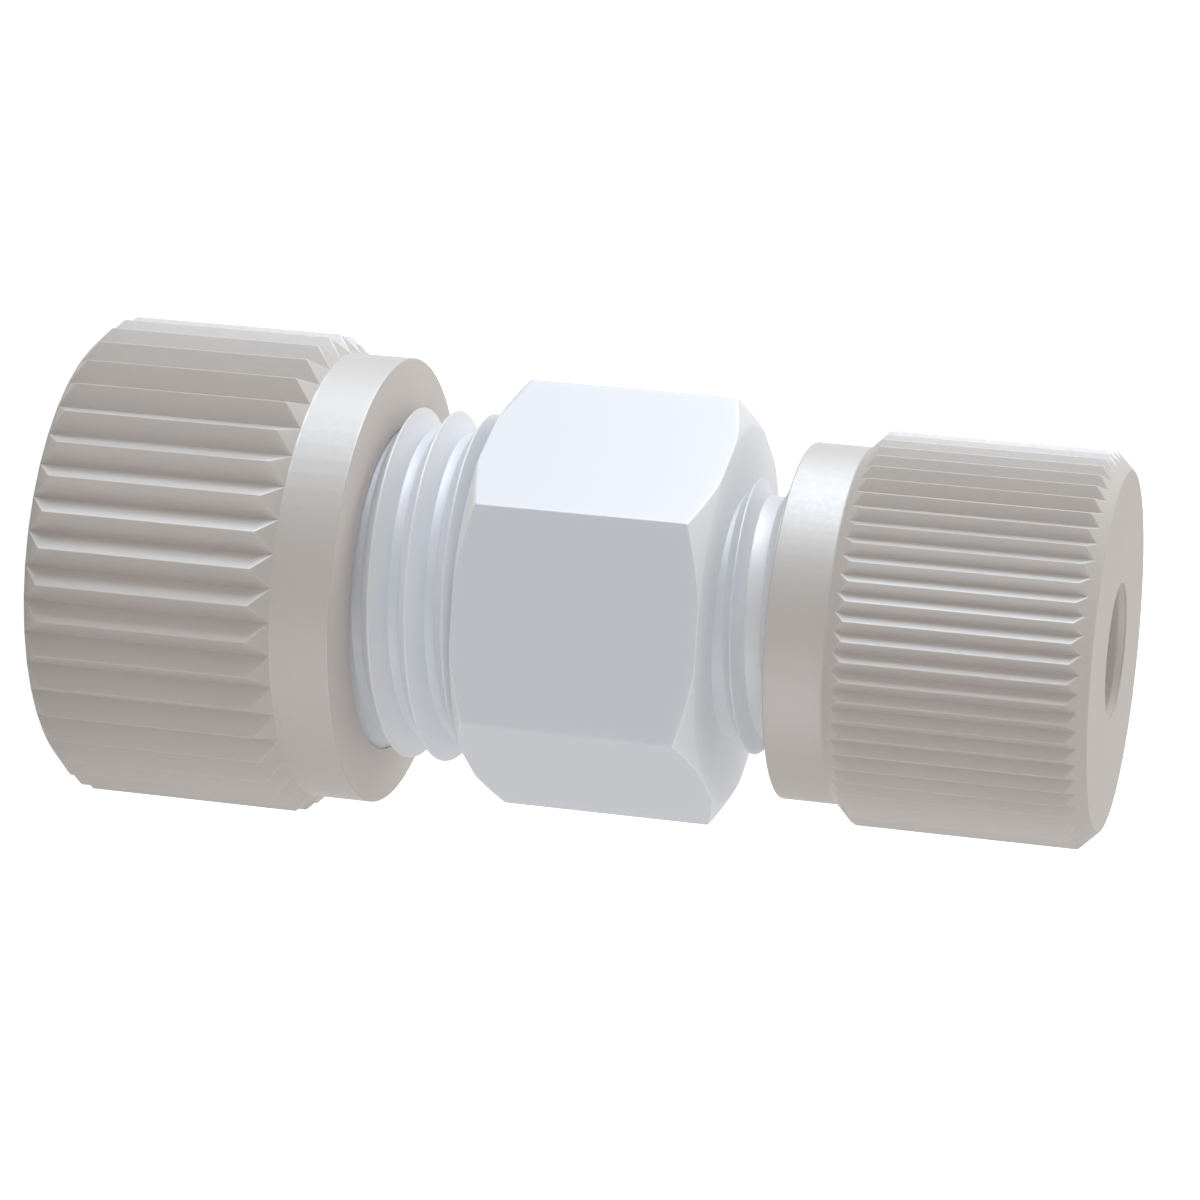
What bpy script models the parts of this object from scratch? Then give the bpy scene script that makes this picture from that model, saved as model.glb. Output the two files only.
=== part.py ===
"""Reducing union for laboratory tubing, built as five pieces in Blender 4.5.

A hexagonal body carries a threaded spigot at each end, a wide one for 12 mm tube and a
narrow one for 8 mm tube. A knurled union nut runs on each spigot and presses a clamping
ferrule into the spigot's conical seat. The union stands on the wide nut's end face, with
+Z along its axis towards the narrow nut and +X through one corner of the hexagon.
"""

import math

import bmesh
import bpy

# Units: the sizes below are in millimetres and the scene is in metres.
MM = 0.001

# Clearances
GAP = 0.3                       # left between surfaces that touch on the real union
SNAP = 0.05                     # a thread row nearer than this to a thread's end joins it

# Thread, right-handed and of one form on both spigots
PITCH = 2.4
THREAD_DEPTH = 0.95
THREAD_FORM = ((0.0, 0.0), (0.32, 0.76), (0.5, 1.0), (0.68, 0.76))   # (part of a pitch, part of the depth)
COLUMNS = 42                    # facets round every threaded or plain bore

# Hexagon
HEX_FLATS = 24.0                # across the flats, a standard spanner size
HEX_LENGTH = 15.75
HEX_FACE_R = 12.13              # radius where the turned chamfer meets the end faces
HEX_CHAMFER_SLOPE = 0.614       # chamfer depth along the axis for each millimetre of radius

# Union nuts, the same lengths on both sides
NUT_LENGTH = 20.15
NUT_WALL = 3.5                  # thickness of the end wall round the tube
BORE_CHAMFER = 0.5              # depth of the tube bore's broken edge
BORE_CHAMFER_R = 0.17
MOUTH_CHAMFER = 0.45            # the female thread's lead-in, beyond its largest radius
RELIEF_EXTRA = 0.12             # the turned relief behind the female thread

# Where the pieces inside a nut stand, measured from the nut's end face
THREAD_START = 8.5
SPIGOT_END = 8.0
FERRULE_BACK = NUT_WALL + GAP
FERRULE_SHOULDER = 6.6
FERRULE_TIP = 13.0
SEAT_END = FERRULE_TIP + GAP
TUBE_STOP = 23.0

# Ferrule, as radii beyond the tube bore's radius
FERRULE_BACK_R = 1.3
FERRULE_MAX_R = 3.0
FERRULE_CONE_R = 2.35
FERRULE_TIP_R = 0.8

# Duct through the middle of the body
DUCT_R = 3.1
LEAD_IN = 1.1                   # the spigot's lead-in, from just under the root to the crest
LEAD_IN_UNDER = 0.35

# Two sides. Exposed thread is what shows between the nut and the hexagon.
WIDE = {
    "tube_bore_r": 6.15,
    "thread_r": 11.33,
    "exposed": 7.13,
    "knurl_r": 15.65,
    "knurl_depth": 1.05,
    "collar_r": 14.5,
    "knurl_length": 16.3,
    "teeth": 42,
    "tooth_turn": math.radians(5.6),
    "crest_z": 21.15,           # height of a crest on the +X side
}
NARROW = {
    "tube_bore_r": 4.15,
    "thread_r": 8.8,
    "exposed": 4.07,
    "knurl_r": 12.6,
    "knurl_depth": 0.57,
    "collar_r": 11.4,
    "knurl_length": 16.4,
    "teeth": 63,
    "tooth_turn": math.radians(1.2),
    "crest_z": 43.98,
}

# Heights of the assembly, from the sizes above
HEX_BASE = NUT_LENGTH + WIDE["exposed"]
HEX_TOP = HEX_BASE + HEX_LENGTH
NARROW_NUT_BASE = HEX_TOP + NARROW["exposed"]
TOTAL_LENGTH = NARROW_NUT_BASE + NUT_LENGTH
BODY_BASE = SPIGOT_END
BODY_TOP = TOTAL_LENGTH - SPIGOT_END

# Colours
NUT_COLOUR = (0.50, 0.465, 0.44)
BODY_COLOUR = (0.80, 0.82, 0.86)
FERRULE_COLOUR = (0.86, 0.86, 0.85)


def clear_scene():
    """Removes every object that the file opened with."""
    for item in list(bpy.data.objects):
        bpy.data.objects.remove(item, do_unlink=True)


def make_material(name, colour, roughness, transmission=0.0):
    """Makes a Principled material of one colour."""
    material = bpy.data.materials.new(name)
    material.use_nodes = True
    shader = material.node_tree.nodes["Principled BSDF"]
    shader.inputs["Base Color"].default_value = (*colour, 1.0)
    shader.inputs["Roughness"].default_value = roughness
    shader.inputs["Metallic"].default_value = 0.0
    shader.inputs["Transmission Weight"].default_value = transmission
    material.diffuse_color = (*colour, 1.0)
    return material


def plastic_of_nuts():
    """Filled engineering plastic, warm grey and nearly matt."""
    return make_material("filled_plastic", NUT_COLOUR, 0.45)


def plastic_of_body():
    """Fluoropolymer, bluish white and softly glossy."""
    return make_material("fluoropolymer", BODY_COLOUR, 0.28)


def plastic_of_ferrules():
    """Fluoropolymer of the clamping ferrules, plain white."""
    return make_material("ferrule_plastic", FERRULE_COLOUR, 0.4)


def angles_of(count, turn=0.0):
    """Evenly spaced angles round the axis, starting at a turn from +X."""
    return [turn + 2.0 * math.pi * k / count for k in range(count)]


def add_ring(bm, radii, heights, turn=0.0):
    """Adds one ring of vertices from a radius and a height for each column."""
    ring = []
    for angle, radius, height in zip(angles_of(len(radii), turn), radii, heights):
        position = (radius * math.cos(angle) * MM, radius * math.sin(angle) * MM, height * MM)
        ring.append(bm.verts.new(position))
    return ring


def plain_ring(bm, radius, height, count=COLUMNS, turn=0.0):
    """Adds a round ring at one height."""
    return add_ring(bm, [radius] * count, [height] * count, turn)


def add_face(bm, corners):
    """Adds a face from corners of which neighbours may be the same vertex."""
    kept = []
    for corner in corners:
        if corner not in kept:
            kept.append(corner)
    if len(kept) > 2:
        bm.faces.new(kept)


def join_rings(bm, first, second):
    """Joins two rings by a band of faces, also where one has a multiple of the other's columns."""
    if len(first) > len(second):
        first, second = second, first
    share = len(second) // len(first)
    for k in range(len(first)):
        following = (k + 1) % len(first)
        start = k * share
        half = (share + 1) // 2
        for step in range(share):
            a = second[start + step]
            b = second[(start + step + 1) % len(second)]
            if step < half:
                add_face(bm, (first[k], a, b))
            else:
                add_face(bm, (first[following], a, b))
        if share == 1:
            add_face(bm, (first[k], second[(k + 1) % len(second)], first[following]))
        else:
            add_face(bm, (first[k], second[start + half], first[following]))


def thread_form(part):
    """Part of the thread's depth at a part of a pitch, counted from a root."""
    part = part % 1.0
    points = list(THREAD_FORM) + [(1.0, THREAD_FORM[0][1])]
    for (low, low_value), (high, high_value) in zip(points, points[1:]):
        if part <= high:
            return low_value + (high_value - low_value) * (part - low) / (high - low)
    return points[-1][1]


def thread_radius(root_r, crest_z, angle, height):
    """Radius of a threaded surface whose crest passes crest_z on the +X side."""
    turns = (height - crest_z) / PITCH - angle / (2.0 * math.pi) + 0.5
    return root_r + THREAD_DEPTH * thread_form(turns)


def thread_end_ring(bm, root_r, crest_z, height, limit, turn):
    """Adds the ring where a thread meets a flat plane."""
    radii = [limit(thread_radius(root_r, crest_z, angle, height), height) for angle in angles_of(COLUMNS, turn)]
    return add_ring(bm, radii, [height] * COLUMNS, turn)


def thread_band(bm, root_r, crest_z, low_ring, low, high_ring, high, limit, turn):
    """Sweeps the thread's form up a helix between two flat rings.

    Each row of vertices follows the helix, so that one turn on it is one pitch higher. Rows
    beyond either end are drawn onto that end's ring. The limit function trims the radius.
    """
    rows = len(THREAD_FORM)
    first = math.floor((low - crest_z) / PITCH - 3) * rows
    last = math.ceil((high - crest_z) / PITCH + 3) * rows
    grid = {}
    for row in range(first, last + rows + 1):
        part, depth = THREAD_FORM[row % rows]
        for column, angle in enumerate(angles_of(COLUMNS, turn)):
            along = row // rows + part - 0.5 + angle / (2.0 * math.pi)
            height = crest_z + PITCH * along
            if height <= low + SNAP:
                grid[row, column] = low_ring[column]
            elif height >= high - SNAP:
                grid[row, column] = high_ring[column]
            else:
                radius = limit(root_r + THREAD_DEPTH * depth, height)
                position = (radius * math.cos(angle) * MM, radius * math.sin(angle) * MM, height * MM)
                grid[row, column] = bm.verts.new(position)
    for row in range(first, last):
        for column in range(COLUMNS):
            if column + 1 < COLUMNS:
                beside, above = grid[row, column + 1], grid[row + 1, column + 1]
            else:
                beside, above = grid[row + rows, 0], grid[row + rows + 1, 0]
            add_face(bm, (grid[row, column], beside, above))
            add_face(bm, (grid[row, column], above, grid[row + 1, column]))


def knurled_ring(bm, side, tip_height, root_height):
    """Adds a ring that goes from tooth tip to groove root and back round the nut."""
    radii = []
    heights = []
    per_tooth = columns_of_nut(side) // side["teeth"]
    for column in range(columns_of_nut(side)):
        on_tip = column % per_tooth == 0
        radii.append(side["knurl_r"] if on_tip else side["knurl_r"] - side["knurl_depth"])
        heights.append(tip_height if on_tip else root_height)
    return add_ring(bm, radii, heights, side["tooth_turn"])


def columns_of_nut(side):
    """Two columns for each tooth of the knurl, one on its tip and one in the groove."""
    return 2 * side["teeth"]


def finish_mesh(bm, name, material, base):
    """Closes the mesh, makes its object and stands it at its height on the axis."""
    bmesh.ops.remove_doubles(bm, verts=bm.verts, dist=0.001 * MM)
    bmesh.ops.recalc_face_normals(bm, faces=bm.faces)
    bmesh.ops.translate(bm, verts=bm.verts, vec=(0.0, 0.0, -base * MM))
    for face in bm.faces:
        face.smooth = True
    for edge in bm.edges:
        if len(edge.link_faces) == 2 and edge.calc_face_angle() > math.radians(28.0):
            edge.smooth = False
    mesh = bpy.data.meshes.new(name)
    bm.to_mesh(mesh)
    bm.free()
    mesh.materials.append(material)
    piece = bpy.data.objects.new(name, mesh)
    piece.location = (0.0, 0.0, base * MM)
    bpy.context.collection.objects.link(piece)
    return piece


def ferrule_cone_r(side, u):
    """Radius of the ferrule's front cone at a distance from the nut's end face."""
    along = (u - FERRULE_SHOULDER) / (FERRULE_TIP - FERRULE_SHOULDER)
    return side["tube_bore_r"] + FERRULE_CONE_R + (FERRULE_TIP_R - FERRULE_CONE_R) * along


def seat_r(side, u):
    """Radius of the spigot's seat, a clearance away from the ferrule's front cone."""
    slope = (FERRULE_CONE_R - FERRULE_TIP_R) / (FERRULE_TIP - FERRULE_SHOULDER)
    return ferrule_cone_r(side, u) + GAP * math.hypot(1.0, slope)


def make_nut(name, side, height_of, material, base):
    """Makes a union nut. height_of turns a distance from its end face into a height."""
    bm = bmesh.new()
    bore_r = side["tube_bore_r"]
    face_r = side["collar_r"]
    root_r = side["knurl_r"] - side["knurl_depth"]
    chamfer = side["knurl_r"] - face_r
    root_chamfer = root_r - face_r
    knurl_end = side["knurl_length"]
    outer = columns_of_nut(side)
    turn = side["tooth_turn"]

    end_mouth = plain_ring(bm, bore_r + BORE_CHAMFER_R, height_of(0.0), turn=turn)
    end_face = plain_ring(bm, face_r, height_of(0.0), outer, turn)
    near_teeth = knurled_ring(bm, side, height_of(chamfer), height_of(root_chamfer))
    far_teeth = knurled_ring(bm, side, height_of(knurl_end - chamfer), height_of(knurl_end - root_chamfer))
    collar_start = plain_ring(bm, face_r, height_of(knurl_end), outer, turn)
    collar_end = plain_ring(bm, face_r, height_of(NUT_LENGTH), outer, turn)

    female_root_r = side["thread_r"] - THREAD_DEPTH + GAP
    largest_r = side["thread_r"] + GAP
    mouth_r = largest_r + MOUTH_CHAMFER
    relief_r = largest_r + RELIEF_EXTRA

    def lead_in(radius, height):
        """Opens the female thread to the collar's face by a 45 degree cone."""
        return max(radius, mouth_r - abs(height - height_of(NUT_LENGTH)))

    ends = sorted((height_of(THREAD_START), height_of(NUT_LENGTH)))
    rings = [
        thread_end_ring(bm, female_root_r, side["crest_z"], ends[0], lead_in, turn),
        thread_end_ring(bm, female_root_r, side["crest_z"], ends[1], lead_in, turn),
    ]
    thread_band(bm, female_root_r, side["crest_z"], rings[0], ends[0], rings[1], ends[1], lead_in, turn)
    if height_of(NUT_LENGTH) > height_of(0.0):
        thread_back, thread_mouth = rings
    else:
        thread_mouth, thread_back = rings

    cone_back_r = bore_r + FERRULE_BACK_R + GAP * math.sqrt(2.0) - (FERRULE_BACK - NUT_WALL)
    cone_front = NUT_WALL + relief_r - cone_back_r
    relief_start = plain_ring(bm, relief_r, height_of(THREAD_START), turn=turn)
    relief_end = plain_ring(bm, relief_r, height_of(cone_front), turn=turn)
    cone_end = plain_ring(bm, cone_back_r, height_of(NUT_WALL), turn=turn)
    wall_edge = plain_ring(bm, bore_r, height_of(NUT_WALL), turn=turn)
    bore_edge = plain_ring(bm, bore_r, height_of(BORE_CHAMFER), turn=turn)

    join_rings(bm, end_mouth, end_face)
    join_rings(bm, end_face, near_teeth)
    join_rings(bm, near_teeth, far_teeth)
    join_rings(bm, far_teeth, collar_start)
    join_rings(bm, collar_start, collar_end)
    join_rings(bm, collar_end, thread_mouth)
    join_rings(bm, thread_back, relief_start)
    join_rings(bm, relief_start, relief_end)
    join_rings(bm, relief_end, cone_end)
    join_rings(bm, cone_end, wall_edge)
    join_rings(bm, wall_edge, bore_edge)
    join_rings(bm, bore_edge, end_mouth)
    return finish_mesh(bm, name, material, base)


def make_ferrule(name, side, height_of, material, base):
    """Makes a clamping ferrule with a short cone at its back and a long one in front."""
    bm = bmesh.new()
    bore_r = side["tube_bore_r"]
    back_cone = FERRULE_MAX_R - FERRULE_BACK_R
    profile = (
        (bore_r, FERRULE_BACK),
        (bore_r + FERRULE_BACK_R, FERRULE_BACK),
        (bore_r + FERRULE_MAX_R, FERRULE_BACK + back_cone),
        (bore_r + FERRULE_MAX_R, FERRULE_SHOULDER),
        (bore_r + FERRULE_CONE_R, FERRULE_SHOULDER),
        (bore_r + FERRULE_TIP_R, FERRULE_TIP),
        (bore_r, FERRULE_TIP),
    )
    rings = [plain_ring(bm, radius, height_of(u)) for radius, u in profile]
    for first, second in zip(rings, rings[1:] + rings[:1]):
        join_rings(bm, first, second)
    return finish_mesh(bm, name, material, base)


def hexagon_r(angle):
    """Radius of the hexagon at an angle, with a corner on +X."""
    inside = angle % (math.pi / 3.0) - math.pi / 6.0
    return HEX_FLATS / 2.0 / math.cos(inside)


def hexagon_rings(bm, face_height, inward):
    """Adds the end face's outline and the chamfer's arcs for one end of the hexagon."""
    face_radii = []
    arc_radii = []
    arc_heights = []
    for angle in angles_of(COLUMNS):
        radius = hexagon_r(angle)
        face_radii.append(min(radius, HEX_FACE_R))
        arc_radii.append(radius)
        arc_heights.append(face_height + inward * max(0.0, radius - HEX_FACE_R) * HEX_CHAMFER_SLOPE)
    face = add_ring(bm, face_radii, [face_height] * COLUMNS)
    arcs = add_ring(bm, arc_radii, arc_heights)
    return face, arcs


def spigot(bm, side, height_of, hexagon_face, hexagon_height):
    """Adds a threaded spigot and its seat, and gives back the ring at the tube stop."""
    root_r = side["thread_r"] - THREAD_DEPTH
    start_r = root_r - LEAD_IN_UNDER
    end_height = height_of(SPIGOT_END)

    def lead_in(radius, height):
        """Tapers the first turn of the thread."""
        rise = (side["thread_r"] - start_r) / LEAD_IN
        return min(radius, start_r + rise * abs(height - end_height))

    ends = sorted((end_height, hexagon_height))
    low = thread_end_ring(bm, root_r, side["crest_z"], ends[0], lead_in, 0.0)
    high = thread_end_ring(bm, root_r, side["crest_z"], ends[1], lead_in, 0.0)
    thread_band(bm, root_r, side["crest_z"], low, ends[0], high, ends[1], lead_in, 0.0)
    if end_height < hexagon_height:
        tip, foot = low, high
    else:
        foot, tip = low, high

    seat_mouth = plain_ring(bm, seat_r(side, SPIGOT_END), end_height)
    seat_end = plain_ring(bm, seat_r(side, SEAT_END), height_of(SEAT_END))
    socket_start = plain_ring(bm, side["tube_bore_r"], height_of(SEAT_END))
    socket_end = plain_ring(bm, side["tube_bore_r"], height_of(TUBE_STOP))
    duct_edge = plain_ring(bm, DUCT_R, height_of(TUBE_STOP))
    join_rings(bm, foot, hexagon_face)
    join_rings(bm, tip, seat_mouth)
    join_rings(bm, seat_mouth, seat_end)
    join_rings(bm, seat_end, socket_start)
    join_rings(bm, socket_start, socket_end)
    join_rings(bm, socket_end, duct_edge)
    return duct_edge


def make_body(name, material):
    """Makes the hexagonal body with both spigots in one piece."""
    bm = bmesh.new()
    base_face, base_arcs = hexagon_rings(bm, HEX_BASE, 1.0)
    top_face, top_arcs = hexagon_rings(bm, HEX_TOP, -1.0)
    join_rings(bm, base_face, base_arcs)
    join_rings(bm, base_arcs, top_arcs)
    join_rings(bm, top_arcs, top_face)
    wide_stop = spigot(bm, WIDE, from_base, base_face, HEX_BASE)
    narrow_stop = spigot(bm, NARROW, from_top, top_face, HEX_TOP)
    join_rings(bm, wide_stop, narrow_stop)
    return finish_mesh(bm, name, material, BODY_BASE)


def from_base(u):
    """Height of a point at a distance from the wide nut's end face."""
    return u


def from_top(u):
    """Height of a point at a distance from the narrow nut's end face."""
    return TOTAL_LENGTH - u


def main():
    """Builds the five pieces of the union."""
    clear_scene()
    nuts = plastic_of_nuts()
    white = plastic_of_ferrules()
    make_nut("large_union_nut", WIDE, from_base, nuts, 0.0)
    make_ferrule("large_ferrule", WIDE, from_base, white, FERRULE_BACK)
    make_body("union_body", plastic_of_body())
    make_ferrule("small_ferrule", NARROW, from_top, white, TOTAL_LENGTH - FERRULE_TIP)
    make_nut("small_union_nut", NARROW, from_top, nuts, NARROW_NUT_BASE)


main()
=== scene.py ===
"""Reducing union for laboratory tubing: its finished surfaces, materials, light and camera.

The file is laid out as an add-on and is run as a script. Each operator makes one piece, or one
group of like pieces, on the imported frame: the threaded body, the two union nuts, the two
clamping ferrules, and the stage. Lengths are in metres, and +Z runs along the union's axis from
the wide nut, on whose end face it stands, to the narrow nut.
"""

import math

import bmesh
import bpy
import numpy as np
from bpy.props import FloatProperty, FloatVectorProperty, IntProperty, PointerProperty
from mathutils import Matrix, Vector


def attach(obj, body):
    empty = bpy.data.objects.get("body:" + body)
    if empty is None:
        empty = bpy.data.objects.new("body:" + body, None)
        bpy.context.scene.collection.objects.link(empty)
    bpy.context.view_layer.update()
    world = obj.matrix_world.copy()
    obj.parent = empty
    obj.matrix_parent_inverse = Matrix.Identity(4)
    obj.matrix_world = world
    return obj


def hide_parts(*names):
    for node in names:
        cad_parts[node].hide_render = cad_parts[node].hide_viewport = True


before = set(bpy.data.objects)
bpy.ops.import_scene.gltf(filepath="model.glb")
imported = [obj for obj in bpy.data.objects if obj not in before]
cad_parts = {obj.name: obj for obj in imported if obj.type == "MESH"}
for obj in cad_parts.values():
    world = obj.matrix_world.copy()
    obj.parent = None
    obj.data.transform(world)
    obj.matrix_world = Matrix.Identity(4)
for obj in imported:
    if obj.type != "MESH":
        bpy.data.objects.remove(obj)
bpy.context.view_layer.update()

bl_info = {
    "name": "Reducing union",
    "version": (1, 0, 0),
    "blender": (4, 5, 0),
    "location": "View3D > Sidebar > Union",
    "description": "Makes a threaded reducing union for laboratory tubing, with knurled nuts",
    "category": "Mesh",
}

BORE_COLUMNS = 147              # columns inside a nut, a quarter or a sixth of those of its knurl
FERRULE_COLUMNS = 144           # columns round a ferrule
HEXAGON_STEP = 2.5              # degrees between the body's columns, away from the corners
EDGE_STEPS = 4                  # faces across a broken edge
EDGE_SHARE = 0.3                # the most of a side that a broken edge takes
EDGE_GUARD = 1.6                # place of the row that keeps the flat beside an edge flat
ROW_SNAP = 0.006                # a thread's row joins its end within this part of a pitch
KNURL_CORNER = {"wide": 0.012, "narrow": 0.018}     # half of a round tip, in parts of a tooth
BODY_INNER_EDGE = 0.00012       # radius on the edges inside the body
NUT_INNER_EDGE = 0.00008        # radius on the edges inside a nut
RIM_RING = 0.0008               # width of the ring of faces inside the collar's outline
BORE_RING = 0.0006              # width of the ring of faces round the tube bore's chamfer
WELD = 2.0e-7                   # points nearer than this are one

PLANE_SLACK = 1.0e-6            # heights nearer to a face of the hexagon than this are on it
MOUTH_SLACK = 1.0e-5            # faces nearer to the nut's mouth plane than this are on it
BORE_SLACK = 0.0001             # faces this little outside the bore's radius belong to the bore
COLLAR_SLACK = 0.00002          # faces farther than this outside the collar belong to the knurl
CHAMFER_UP = 0.3                # a face whose normal leans more than this along Z is a chamfer
THREAD_END = 0.25               # the threads' share of the painted fill light that lightens the hexagon's end faces
WIDE_HOLLOW_FILL_LIGHT = 0.5               # the wide thread's share of the painted fill light in a thread's hollow
BORE_FILL_LIGHT = 1.0                 # share of a nut's painted fill light, its lighter tone, that its bore has
MOUTH_FILL_LIGHT = 0.7                # the same for the mouth's face
KNURL_FILL_LIGHT = 0.2                # and for the knurl

WHITE = (1.0, 1.0, 1.0)
SURROUND_LIGHT = 0.61           # strength of the world where it only lights
FLOOR_LIFT = 0.75               # what lifts the seen floor to white
FLOOR_HALF = 6.0                # half of the floor's side
UNION_MIDDLE = (0.0, 0.0, 0.034)
LAMPS = (                       # name, place, width, height, power, tint, for shine only
    ("above", (0.1, -0.3, 1.0), 0.6, 0.6, 0.8, WHITE, False),
    ("behind", (0.9, -0.85, 0.75), 0.5, 0.5, 4.8, WHITE, False),
    ("low", (-0.7, 0.2, 0.6), 0.5, 0.5, 0.35, WHITE, False),
    ("reflector", (1.5, 0.0, 0.05), 1.0, 0.09, 92.0, (0.82, 0.90, 1.0), True),
    ("reflector_low", (-1.0, 1.1, 0.10), 0.9, 0.18, 18.0, (0.93, 0.93, 1.0), True),
)


# --- Sizes and colours ------------------------------------------------------------------------


def length(name, description, default):
    """A property that holds a length."""
    return FloatProperty(
        name=name, description=description, default=default, min=0.0, precision=5, unit="LENGTH"
    )


def colour(name, description, default):
    """A property that holds a colour."""
    return FloatVectorProperty(
        name=name, description=description, default=default, min=0.0, max=1.0, subtype="COLOR"
    )


def ratio(name, description, default):
    """A property that holds a plain number."""
    return FloatProperty(name=name, description=description, default=default)


def tip_place(degrees):
    """A property that holds the angle of one of the knurl's tips."""
    turn = math.radians(degrees)
    return FloatProperty(
        name="Knurl turn", description="Place of a tip", default=turn, subtype="ANGLE"
    )


class ThreadSizes(bpy.types.PropertyGroup):
    """Sizes that both threads and all the clearances share."""

    pitch: length("Pitch", "Height of one turn", 0.0024)
    slope: ratio("Flank slope", "Fall for each unit of length, 1.73 for 60 degrees", 1.732)
    crest_half: length("Crest half width", "Half of a crest's flat", 0.00006)
    crest_edge: length("Crest edge", "Fall over which a crest's edge is round", 0.00007)
    root_edge: length("Root edge", "Rise over which a root's edge is round", 0.0001)
    play: length("Play", "Between the two threads", 0.00009)
    gap: length("Clearance", "Round the ferrules, whose surfaces touch on the real union", 0.0003)
    lead_in: length("Lead-in", "Length of the spigot's tapered start", 0.0011)
    lead_in_under: length("Lead-in depth", "How far the taper starts under the root", 0.00035)


class BodySizes(bpy.types.PropertyGroup):
    """Sizes of the hexagon and of the way through the body."""

    across_flats: length("Across flats", "Spanner size", 0.024)
    hexagon: length("Hexagon length", "Along the axis", 0.01575)
    face_r: length("End face radius", "Where the turned chamfer meets the end face", 0.01213)
    chamfer_slope: ratio("Chamfer slope", "Depth for each unit of radius", 0.614)
    edge: length("Broken edge", "Radius on the hexagon's edges", 0.00016)
    duct_r: length("Duct radius", "The liquid's way", 0.0031)
    spigot_end: length("Spigot end", "From the nut's end face", 0.008)
    seat_end: length("Seat end", "From the nut's end face", 0.0133)
    tube_stop: length("Tube stop", "From the nut's end face", 0.023)


class NutSizes(bpy.types.PropertyGroup):
    """Sizes that both union nuts share, measured from a nut's end face."""

    length: length("Length", "Of a nut", 0.02015)
    wall: length("End wall", "Thickness round the tube", 0.0035)
    bore_chamfer: length("Bore chamfer", "Depth of the tube bore's broken edge", 0.0005)
    bore_chamfer_r: length("Bore chamfer width", "Of the same edge, across", 0.00017)
    mouth_break: length("Mouth break", "Cut from the female crests where they start", 0.0001)
    relief: length("Relief", "Turned behind the female thread", 0.00012)
    thread_start: length("Thread start", "From the end face", 0.0085)
    edge: length("Broken edge", "Radius on the nut's edges", 0.0001)


class FerruleSizes(bpy.types.PropertyGroup):
    """Sizes of a ferrule: places from the nut's end face, and radii beyond the tube's bore."""

    back: length("Back", "Place of the back face", 0.0038)
    shoulder: length("Shoulder", "Place of the step to the front cone", 0.0066)
    tip: length("Tip", "Place of the front end", 0.013)
    back_r: length("Back radius", "Beyond the bore", 0.0013)
    max_r: length("Largest radius", "Beyond the bore", 0.003)
    cone_r: length("Cone radius", "Beyond the bore, at the shoulder", 0.00235)
    tip_r: length("Tip radius", "Beyond the bore", 0.0008)
    edge: length("Broken edge", "Radius on the ferrule's edges", 0.00012)


class WideSide(bpy.types.PropertyGroup):
    """Sizes of the side for the larger tube."""

    bore_r: length("Tube bore radius", "For a 12 mm tube", 0.00615)
    thread_r: length("Thread radius", "Over the crests", 0.01136)
    thread_depth: length("Thread depth", "From root to crest", 0.0014)
    exposed: length("Exposed thread", "Between the nut and the hexagon", 0.00713)
    knurl_r: length("Knurl radius", "Over the tips", 0.01565)
    knurl_depth: length("Knurl depth", "From tip to root", 0.00116)
    collar_r: length("Collar radius", "The plain end's", 0.0145)
    knurl_end: length("Knurl end", "From the nut's end face", 0.0163)
    teeth: IntProperty(name="Teeth", description="Of the knurl", default=42, min=6)
    turn: tip_place(5.6)
    crest: length("Crest height", "A crest's on the +X side", 0.02109)


class NarrowSide(bpy.types.PropertyGroup):
    """Sizes of the side for the smaller tube."""

    bore_r: length("Tube bore radius", "For an 8 mm tube", 0.00415)
    thread_r: length("Thread radius", "Over the crests", 0.0088)
    thread_depth: length("Thread depth", "From root to crest", 0.00105)
    exposed: length("Exposed thread", "Between the nut and the hexagon", 0.00407)
    knurl_r: length("Knurl radius", "Over the tips", 0.0126)
    knurl_depth: length("Knurl depth", "From tip to root", 0.00064)
    collar_r: length("Collar radius", "The plain end's", 0.0114)
    knurl_end: length("Knurl end", "From the nut's end face", 0.0164)
    teeth: IntProperty(name="Teeth", description="Of the knurl", default=63, min=6)
    turn: tip_place(1.2)
    crest: length("Crest height", "A crest's on the +X side", 0.04378)


class FinishColours(bpy.types.PropertyGroup):
    """Colours of the three plastics."""

    nuts: colour("Nuts", "Filled plastic, warm grey", (0.508, 0.468, 0.432))
    body: colour("Body", "Fluoropolymer, bluish white", (0.70, 0.72, 0.762))
    ferrules: colour("Ferrules", "Fluoropolymer, plain white", (0.86, 0.86, 0.85))


# --- Surfaces ---------------------------------------------------------------------------------


def full_turn(count, start=0.0):
    """Evenly spaced angles: start + 2 pi k / count."""
    return start + 2.0 * np.pi * np.arange(count) / count


def softened(distance, width):
    """Absolute distance with its corner at 0 made round.

    Within the width it is (d d / width + width) / 2.
    """
    d = np.abs(distance)
    return np.where(d < width, (d * d / width + width) / 2.0, d)


def revolved(profile, columns):
    """A profile of (radius, height) points as one row of equal points for each of its points."""
    return np.repeat(np.array(profile, dtype=float)[:, None, :], columns, axis=1)


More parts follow.
